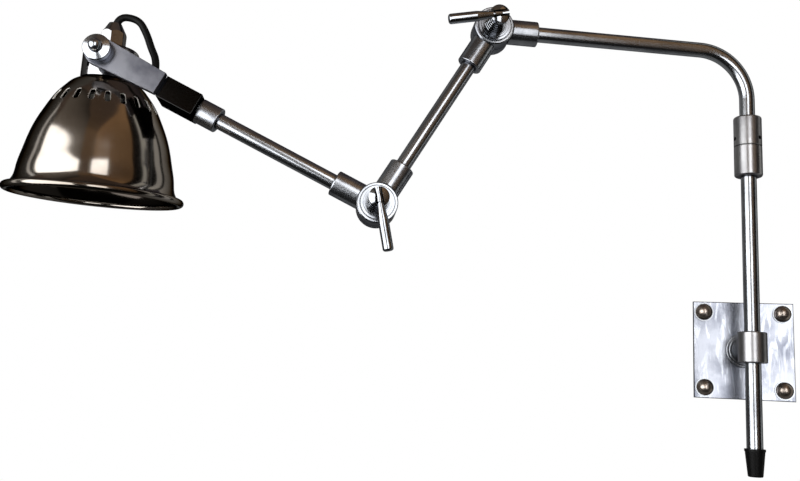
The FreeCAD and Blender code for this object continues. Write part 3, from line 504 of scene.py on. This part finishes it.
def plainMaterial(name, settings):
    material, tree = newMaterial(name)
    place = addNode(tree, "ShaderNodeTexCoord").outputs["Object"]
    grain = addNode(tree, "ShaderNodeTexNoise", Vector=place, Scale=settings["grain"],
                    Detail=2.0)
    mix = addNode(tree, "ShaderNodeMix", {"data_type": "RGBA"}, Factor=grain.outputs["Fac"],
                  A=linearColour(settings["colour"]), B=linearColour(settings["stain"]))
    bump = addNode(tree, "ShaderNodeBump", Strength=settings["relief"],
                   Distance=plainSurface["depth"], Height=grain.outputs["Fac"])
    shader = addNode(tree, "ShaderNodeBsdfPrincipled", Base_Color=mix.outputs["Result"],
                     Roughness=settings["rough"], Specular_IOR_Level=plainSurface["sheen"],
                     Normal=bump.outputs["Normal"])
    addNode(tree, "ShaderNodeOutputMaterial", Surface=shader.outputs[0])
    return material


glandPlastic = plainMaterial("mouldedPolyamide", glandSettings)
bakelite = plainMaterial("mouldedBakelite", bakeliteSettings)
fibre = plainMaterial("pressedFibre", fibreSettings)
cordSheath = plainMaterial("cordSheath", sheathSettings)
lampGlass = plainMaterial("frostedLampGlass", glassSettings)

finishes = {
    "polished_nickel": nickel, "zinc_steel": steel, "dark_pewter": pewter,
    "blackened_steel": black, "black_plastic": glandPlastic, "brass": brass,
    "cast_aluminium": castMetal, "fibre_washer": fibre, "dark_block": blockMetal,
    "brushed_aluminium": satin, "dark_nickel": shadeMetal, "bakelite": bakelite,
    "lamp_glass": lampGlass, "black_cord": cordSheath,
}
slotOf = {part["node"]: part["material_slot"] for part in frame["record"]["subparts"]}
# nodes whose finish in the photograph is finer than their slot says
special = {
    "wall_plate": plateMetal, "swivel_washer": steel, "end_ferrule": castMetal,
    "cord_grip": fittingMetal, "neck_cap": fittingMetal,
    "pole_collar": turnedMetal, "lower_barrel": turnedMetal, "upper_barrel": turnedMetal,
    "upper_clamp_nut": clampMetal, "upper_clamp_lever": clampMetal,
    "lower_clamp_nut": clampMetal, "lower_clamp_lever": clampMetal,
    "upper_ring_washer": clampMetal, "lower_ring_washer": clampMetal,
}
for name, node in frame["nodes"].items():
    node.data.materials.clear()
    node.data.materials.append(special.get(name, finishes[slotOf[name]]))
print("materials assigned")

# the shade, in millimetres from the head's pivot and degrees
shade = {
    # radius and drop: the straight collar, then the curve from the neck down to the flare
    "collar": 23.9, "collarTop": 9.1, "top": 14.6,
    "profile": [(28.5, 16.6), (33.7, 20.4), (37.5, 24.8), (42.5, 31.0), (47.6, 39.0),
                (52.6, 49.0), (57.5, 59.7), (62.7, 74.8), (66.6, 90.7), (69.6, 104.5),
                (71.8, 116.2), (75.9, 122.6)],
    "wall": 1.2, "edgeRound": 0.4, "roundSteps": 2, "roundFrom": 50, "sharpFrom": 40,
    "rimRadius": 77.3, "rimDrop": 124.6, "beadRadius": 3.4, "beadSides": 28,
    "vents": 22, "ventWidth": 4.9, "ventLength": 12.8, "ventDrop": 38.0, "ventMargin": 2.4,
    # faces: across a sector, down a slot's side, out from a slot and how they widen there
    "columns": 12, "ventRows": 16, "ventRings": 5, "ringEase": 1.5,
    # faces down the collar, from there to the slots, and from the slots to the flare
    "collarRows": 3, "shoulderRows": 12, "skirtRows": 44, "seam": 0.02,
    # steps for finding a place on the curve, and how far a face has to turn from the curve's
    # outward direction, as a cosine, to be the inside or a cut edge
    "triesPerMillimetre": 10, "tableStep": 0.5, "insideBelow": -0.75, "cutBelow": 0.93,
}


def naturalSpline(knots, values):
    # second derivatives of a natural cubic, solved by one sweep down and one back
    n = len(knots)
    bend, rest = [0.0] * n, [0.0] * n
    for i in range(1, n - 1):
        before, after = knots[i] - knots[i - 1], knots[i + 1] - knots[i]
        ratio = before / (before + after)
        scale = ratio * bend[i - 1] + 2
        bend[i] = (ratio - 1) / scale
        slope = (values[i + 1] - values[i]) / after - (values[i] - values[i - 1]) / before
        rest[i] = (6 * slope / (before + after) - ratio * rest[i - 1]) / scale
    for i in range(n - 2, -1, -1):
        bend[i] = bend[i] * bend[i + 1] + rest[i]

    def at(t):
        i = max(k for k in range(n - 1) if knots[k] <= t or k == 0)
        span = knots[i + 1] - knots[i]
        a, b = (knots[i + 1] - t) / span, (t - knots[i]) / span
        straight = a * values[i] + b * values[i + 1]
        return straight + ((a ** 3 - a) * bend[i] + (b ** 3 - b) * bend[i + 1]) * span ** 2 / 6
    return at


def shadeLine():
    # radius and drop by the distance along the curve, which is negative up the collar
    points = [(shade["collar"], shade["top"])] + shade["profile"]
    run = [0.0]
    for (r0, h0), (r1, h1) in zip(points, points[1:]):
        run.append(run[-1] + math.hypot(r1 - r0, h1 - h0))
    radius, drop = (naturalSpline(run, [p[k] for p in points]) for k in (0, 1))

    def at(t):
        return (radius(t), drop(t)) if t >= 0 else (shade["collar"], shade["top"] + t)

    tries = shade["triesPerMillimetre"]
    ventRun = next(t / tries for t in range(int(run[-1] * tries))
                   if drop(t / tries) >= shade["ventDrop"])
    return at, run[-1], ventRun


def ventOutline(count, sides):
    # a slot with round ends about its middle, across and along the curve
    half, reach = shade["ventWidth"] / 2, (shade["ventLength"] - shade["ventWidth"]) / 2
    points = []
    for end in (1, -1):
        for k in range(count):
            turn = math.pi * k / count
            points.append((-end * half * math.cos(turn), end * (reach + half * math.sin(turn))))
        points += [(end * half, end * (reach - 2 * reach * k / sides)) for k in range(sides)]
    return points


def addShadeSector():
    at, runEnd, ventRun = shadeLine()
    pitch = 2 * math.pi / shade["vents"]
    columns, sides = shade["columns"], shade["ventRows"]
    reach = shade["ventLength"] / 2 + shade["ventMargin"]
    vertices, faces = [], []

    def point(turn, run):
        r, h = at(run)
        vertices.append((r * math.sin(turn) / metre, -r * math.cos(turn) / metre, -h / metre))
        return len(vertices) - 1

    def strip(first, last, rows):
        lines = [[point(pitch * (c / columns - 0.5), first + (last - first) * k / rows)
                  for c in range(columns + 1)] for k in range(rows + 1)]
        for low, high in zip(lines, lines[1:]):
            faces.extend((low[c], high[c], high[c + 1], low[c + 1]) for c in range(columns))

    strip(shade["collarTop"] - shade["top"], 0.0, shade["collarRows"])
    strip(0.0, ventRun - reach, shade["shoulderRows"])
    strip(ventRun + reach, runEnd, shade["skirtRows"])

    # between those strips, rings of faces lead from the slot's outline to the sector's sides
    inner = ventOutline(columns, sides)
    outer = []
    for end in (1, -1):
        outer += [(end * pitch * (k / columns - 0.5), end * reach) for k in range(columns)]
        outer += [(end * pitch / 2, end * (reach - 2 * reach * k / sides)) for k in range(sides)]
    ventRadius = at(ventRun)[0]
    rings = []
    for ring in range(shade["ventRings"] + 1):
        far = (ring / shade["ventRings"]) ** shade["ringEase"]
        rings.append([point((1 - far) * x / ventRadius + far * turn,
                            ventRun + (1 - far) * y + far * high)
                      for (x, y), (turn, high) in zip(inner, outer)])
    for near, far in zip(rings, rings[1:]):
        faces.extend((near[k], far[k], far[(k + 1) % len(far)], near[(k + 1) % len(near)])
                     for k in range(len(near)))
    mesh = bpy.data.meshes.new("shadeSector")
    mesh.from_pydata(vertices, [], faces)
    return addObject("shadeSector", mesh)


def ringTree(material):
    # turns one sector into the whole ring: equal turns about Z, then the seams are joined
    tree = bpy.data.node_groups.new("shadeRing", "GeometryNodeTree")
    face = tree.interface
    face.new_socket("Geometry", in_out="INPUT", socket_type="NodeSocketGeometry")
    count = face.new_socket("Count", in_out="INPUT", socket_type="NodeSocketInt")
    seam = face.new_socket("Seam", in_out="INPUT", socket_type="NodeSocketFloat")
    face.new_socket("Geometry", in_out="OUTPUT", socket_type="NodeSocketGeometry")
    given = addNode(tree, "NodeGroupInput")
    points = addNode(tree, "GeometryNodeMeshLine", Count=given.outputs["Count"],
                     Offset=(0.0, 0.0, 0.0))
    index = addNode(tree, "GeometryNodeInputIndex")
    step = addNode(tree, "ShaderNodeMath", {"operation": "DIVIDE"},
                   i0=2 * math.pi, i1=given.outputs["Count"])
    turn = addNode(tree, "ShaderNodeMath", {"operation": "MULTIPLY"},
                   i0=index.outputs[0], i1=step.outputs[0])
    about = addNode(tree, "ShaderNodeCombineXYZ", Z=turn.outputs[0])
    copies = addNode(tree, "GeometryNodeInstanceOnPoints", Points=points.outputs[0],
                     Instance=given.outputs["Geometry"], Rotation=about.outputs[0])
    real = addNode(tree, "GeometryNodeRealizeInstances", Geometry=copies.outputs[0])
    joined = addNode(tree, "GeometryNodeMergeByDistance", Geometry=real.outputs[0],
                     Distance=given.outputs["Seam"])
    painted = addNode(tree, "GeometryNodeSetMaterial", Geometry=joined.outputs[0],
                      Material=material)
    addNode(tree, "NodeGroupOutput", Geometry=painted.outputs[0])
    return tree, count.identifier, seam.identifier


def addBead(mesh, around, across):
    # the rolled rim, a closed ring of round section
    bm = bmesh.new()
    bm.from_mesh(mesh)
    grid = []
    for a in range(around):
        turn = 2 * math.pi * a / around
        loop = []
        for b in range(across):
            roll = 2 * math.pi * b / across
            r = (shade["rimRadius"] + shade["beadRadius"] * math.cos(roll)) / metre
            z = (-shade["rimDrop"] + shade["beadRadius"] * math.sin(roll)) / metre
            loop.append(bm.verts.new((r * math.cos(turn), r * math.sin(turn), z)))
        grid.append(loop)
    for a in range(around):
        for b in range(across):
            e, f = (a + 1) % around, (b + 1) % across
            bm.faces.new((grid[a][b], grid[e][b], grid[e][f], grid[a][f]))
    bm.to_mesh(mesh)
    bm.free()


def markRegions(mesh):
    # each face is compared with the outward direction of the shade's line at its height
    at, runEnd, _ = shadeLine()
    step = shade["tableStep"]
    table = []
    for k in range(int(runEnd / step)):
        (r0, h0), (r1, h1) = at(k * step), at((k + 1) * step)
        table.append((h0, Vector((h1 - h0, r1 - r0)).normalized()))
    # the two masks carry the painted shade of the inside and the painted highlight of the slots' cut edges
    inside = mesh.attributes.new("inside", "FLOAT", "FACE")
    bare = mesh.attributes.new("bareEdge", "FLOAT", "FACE")
    for face in mesh.polygons:
        drop = -face.center.z * metre
        out = min(table, key=lambda row: abs(row[0] - drop))[1]
        radial = Vector((face.center.x, face.center.y)).normalized()
        level = Vector((face.normal.x, face.normal.y)).dot(radial)
        facing = level * out[0] + face.normal.z * out[1]
        nearVents = abs(drop - shade["ventDrop"]) < shade["ventLength"]
        cut = nearVents and abs(facing) < shade["cutBelow"]
        inside.data[face.index].value = 1.0 if facing < shade["insideBelow"] else 0.0
        bare.data[face.index].value = 1.0 if cut else 0.0


def addShade():
    sector = addShadeSector()
    tree, count, seam = ringTree(shadeMetal)
    ring = sector.modifiers.new("ring", "NODES")
    ring.node_group = tree
    ring[count] = shade["vents"]
    ring[seam] = shade["seam"] / metre
    shell = sector.modifiers.new("wall", "SOLIDIFY")
    shell.thickness = shade["wall"] / metre
    shell.offset = -1.0  # inwards, so that the profile is the outside
    soft = sector.modifiers.new("edges", "BEVEL")
    soft.width = shade["edgeRound"] / metre
    soft.segments = shade["roundSteps"]
    soft.angle_limit = math.radians(shade["roundFrom"])
    mesh = plainMesh(sector)
    bpy.data.objects.remove(sector)
    markRegions(mesh)
    addBead(mesh, shade["vents"] * shade["columns"], shade["beadSides"])
    mesh.transform(toMetres @ headPlace @ toMetres.inverted())
    smoothFaces(mesh)
    mesh.set_sharp_from_angle(angle=math.radians(shade["sharpFrom"]))
    mesh.materials.clear()
    mesh.materials.append(shadeMetal)
    piece = addObject("spunShade", mesh)
    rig.ride(piece, "head")
    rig.replaces(piece, "shade")
    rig.slot(piece, slotOf["shade"])
    return piece


shadePiece = addShade()
print("shade made", len(shadePiece.data.polygons), "faces")

# the head's lead, in millimetres in the arm's plane: its route is given. The bend
# between head and arm takes up the stretch from one share of its length to the other
lead = {"diameter": 7.0, "bendFrom": 0.15, "bendTo": 0.9, "order": 3, "steps": 16, "sides": 6,
        "route": [(-631.47, 12.91, 266.65), (-631.17, 11.58, 283.6), (-610.5, 12.5, 283.4),
                  (-601.0, 11.5, 268.5), (-594.5, 8.5, 253.0), (-588.3, 5.0, 241.5),
                  (-586.8, 2.2, 226.5), (-587.04, 0.0, 213.15), (-572.0, 0.0, 206.3)]}


def addLead():
    line = bpy.data.curves.new("headLead", "CURVE")
    line.dimensions = "3D"
    run = line.splines.new("NURBS")
    run.points.add(len(lead["route"]) - 1)
    for spot, point in zip(run.points, lead["route"]):
        spot.co = (*(toMetres @ (armPlace @ Vector(point))), 1.0)
    run.order_u = lead["order"]
    run.use_endpoint_u = True
    run.resolution_u = lead["steps"]
    centre = addObject("headLeadLine", line)
    path = [tuple(v.co) for v in plainMesh(centre).vertices]
    line.bevel_depth = lead["diameter"] / 2 / metre
    line.bevel_resolution = lead["sides"]
    line.use_fill_caps = True
    tube = plainMesh(centre)
    piece = addObject("headLead", tube)
    bpy.data.objects.remove(centre)
    smoothFaces(tube)
    tube.materials.clear()
    tube.materials.append(cordSheath)
    return piece, path


leadPiece, leadPath = addLead()
leadLength = sum((Vector(b) - Vector(a)).length for a, b in zip(leadPath, leadPath[1:]))
bendStart, bendEnd = (leadPath[int(len(leadPath) * lead[k])] for k in ("bendFrom", "bendTo"))
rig.replaces(leadPiece, "head_cord")
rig.slot(leadPiece, "black_cord")
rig.blend(leadPiece, "head", "lower_arm", start=bendStart, end=bendEnd)
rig.cord(leadPiece, exit=leadPath[0], length=leadLength, diameter=lead["diameter"] / metre,
        far_end="object", stiffness="limp", lay="hanging", path=leadPath)
print("head lead made", round(leadLength * metre, 1), "mm")

# floor and light, in metres; the floor is seen as plain white and lit as its own colour
studio = {"floorDrop": 0.62, "floorSize": 12.0, "floor": "#f4f4f2", "ambient": 0.35,
          "white": (1.0, 1.0, 1.0, 1.0)}

# what the polished metal sees of the room. The back wall stands inside the view and the rest
# around it, and all are hidden from the camera: corner, across, up, colour at the foot,
# colour at the top, strength
roomPanels = {
    "leftSoftbox": ((-1.20, -0.62, -0.4), (0.76, -0.80, 0.0), (-0.02, 0.0, 0.98),
                    "#ffffff", "#ffffff", 3.2),
    "leftGlow": ((-1.22, -0.62, 0.58), (0.76, -0.80, 0.0), (-0.02, 0.0, 0.95),
                 "#8f857a", "#2d2823", 0.8),
    "rightSoftbox": ((0.02, -1.62, -0.4), (0.50, 0.58, 0.0), (0.0, 0.0, 1.22),
                     "#ffffff", "#ffffff", 3.2),
    "ceiling": ((-2.4, -2.3, 1.75), (2.8, 0.0, 0.0), (0.0, 3.8, 0.0),
                "#66533f", "#403f48", 1.0),
    "frontWall": ((-2.4, -2.3, -0.5), (2.8, 0.0, 0.0), (0.0, 0.0, 2.3),
                  "#1c1917", "#7d644a", 1.0),
    "leftWall": ((-2.4, -2.3, -0.5), (0.0, 1.5, 0.0), (0.0, 0.0, 2.3),
                 "#151312", "#5c5853", 1.0),
    "leftWing": ((-0.76, -0.34, -0.5), (-1.64, 2.0, 0.0), (0.0, 0.0, 2.3),
                 "#0c0b0b", "#8f8e8b", 1.0),
    "rightWall": ((0.4, -2.3, -0.5), (0.0, 1.95, 0.0), (0.0, 0.0, 2.3),
                  "#1a1816", "#a5825e", 1.0),
    "rightRear": ((0.4, -0.35, -0.5), (0.0, 1.85, 0.0), (0.0, 0.0, 2.3),
                  "#0b0b0b", "#1c1a18", 1.0),
    "rightStripe": ((0.39, -0.06, -0.4), (0.0, 0.22, 0.0), (0.0, 0.0, 2.1),
                    "#a6a6a2", "#c8c6c0", 1.0),
    "farStripe": ((0.39, 0.55, -0.4), (0.0, 0.5, 0.0), (0.0, 0.0, 2.1),
                  "#98989a", "#c8c6c0", 1.0),
    "backWall": ((-2.4, 1.5, -0.5), (2.8, 0.0, 0.0), (0.0, 0.0, 2.3),
                 "#70706f", "#b6b5b3", 1.0),
    "tableFront": ((-2.4, -2.3, -0.42), (2.8, 0.0, 0.0), (0.0, 2.2, 0.0),
                   "#0b0b0b", "#161514", 1.0),
    "tableBack": ((-2.4, -0.1, -0.42), (2.8, 0.0, 0.0), (0.0, 1.6, 0.0),
                  "#5c5c5b", "#8f8f8d", 1.0),
}

# lamps for the matt pieces, hidden from reflections, with their power in watts
softLamps = {
    "keyLamp": {"place": (-1.2, -1.4, 1.0), "aim": (-0.35, -0.15, 0.15), "size": (0.9, 0.7),
                "power": 14.0},
    "fillLamp": {"place": (0.6, -1.5, 0.6), "aim": (-0.3, -0.15, 0.1), "size": (0.5, 0.9),
                 "power": 8.0},
}


def addPanel(name, corner, across, up, foot, top, glow):
    mesh = bpy.data.meshes.new(name)
    c, a, u = Vector(corner), Vector(across), Vector(up)
    mesh.from_pydata([c, c + a, c + a + u, c + u], [], [(0, 1, 2, 3)])
    panel = addObject(name, mesh)
    material, tree = newMaterial(name + "Surface")
    place = addNode(tree, "ShaderNodeTexCoord").outputs["Generated"]
    spot = addNode(tree, "ShaderNodeSeparateXYZ", Vector=place)
    # from foot to top on a wall, and from front to back on the ceiling and tables
    toneAxis = "Z" if u.z > abs(u.y) else "Y"
    mix = addNode(tree, "ShaderNodeMix", {"data_type": "RGBA"}, Factor=spot.outputs[toneAxis],
                  A=linearColour(foot), B=linearColour(top))
    shine = addNode(tree, "ShaderNodeEmission", Color=mix.outputs["Result"], Strength=glow)
    addNode(tree, "ShaderNodeOutputMaterial", Surface=shine.outputs[0])
    # dim panels are found by the reflections themselves, so only the softboxes are sampled
    material.cycles.emission_sampling = "AUTO" if glow > 1 else "NONE"
    mesh.materials.append(material)
    # only reflections see it: it lights nothing else and casts no shadow
    panel.visible_camera = panel.visible_diffuse = False
    panel.visible_shadow = panel.visible_transmission = False
    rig.stage(panel)


def seenPlainly(tree):
    # 1 for rays of the camera, through glass and off metal, which see plain white
    path = addNode(tree, "ShaderNodeLightPath")
    seen = path.outputs["Is Camera Ray"]
    for ray in ("Is Transmission Ray", "Is Glossy Ray"):
        either = addNode(tree, "ShaderNodeMath", {"operation": "MAXIMUM"},
                         i0=seen, i1=path.outputs[ray])
        seen = either.outputs[0]
    return seen


def addFloor():
    half, z = studio["floorSize"] / 2, -studio["floorDrop"]
    mesh = bpy.data.meshes.new("studioFloor")
    mesh.from_pydata([(-half, -half, z), (half, -half, z), (half, half, z), (-half, half, z)],
                     [], [(0, 1, 2, 3)])
    floor = addObject("studioFloor", mesh)
    material, tree = newMaterial("paperFloor")
    plain = addNode(tree, "ShaderNodeBsdfDiffuse", Color=linearColour(studio["floor"]))
    white = addNode(tree, "ShaderNodeEmission", Color=studio["white"], Strength=1.0)
    mixed = addNode(tree, "ShaderNodeMixShader", i0=seenPlainly(tree), i1=plain.outputs[0],
                    i2=white.outputs[0])
    addNode(tree, "ShaderNodeOutputMaterial", Surface=mixed.outputs[0])
    mesh.materials.append(material)
    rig.stage(floor)


def addSoftLamp(name, settings):
    lamp = bpy.data.lights.new(name, "AREA")
    lamp.shape = "RECTANGLE"
    lamp.size, lamp.size_y = settings["size"]
    lamp.energy = settings["power"]
    box = addObject(name, lamp)
    box.location = settings["place"]
    towards = Vector(settings["aim"]) - Vector(settings["place"])
    box.rotation_euler = towards.to_track_quat("-Z", "Y").to_euler()
    box.visible_glossy = False


def addStudio():
    scene.world = bpy.data.worlds.new("studio")
    scene.world.use_nodes = True
    tree = scene.world.node_tree
    tree.nodes.clear()
    dim = addNode(tree, "ShaderNodeBackground", Color=studio["white"],
                  Strength=studio["ambient"])
    white = addNode(tree, "ShaderNodeBackground", Color=studio["white"], Strength=1.0)
    mixed = addNode(tree, "ShaderNodeMixShader", i0=seenPlainly(tree), i1=dim.outputs[0],
                    i2=white.outputs[0])
    addNode(tree, "ShaderNodeOutputWorld", Surface=mixed.outputs[0])
    addFloor()
    for name, settings in roomPanels.items():
        addPanel(name, *settings)
    for name, settings in softLamps.items():
        addSoftLamp(name, settings)


addStudio()
print("studio set")

scene.view_settings.view_transform = "Standard"
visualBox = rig.bounds()
with open("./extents.json", "w") as out:
    json.dump({"cad": [list(c) for c in cadBox], "visual": [list(c) for c in visualBox]}, out)
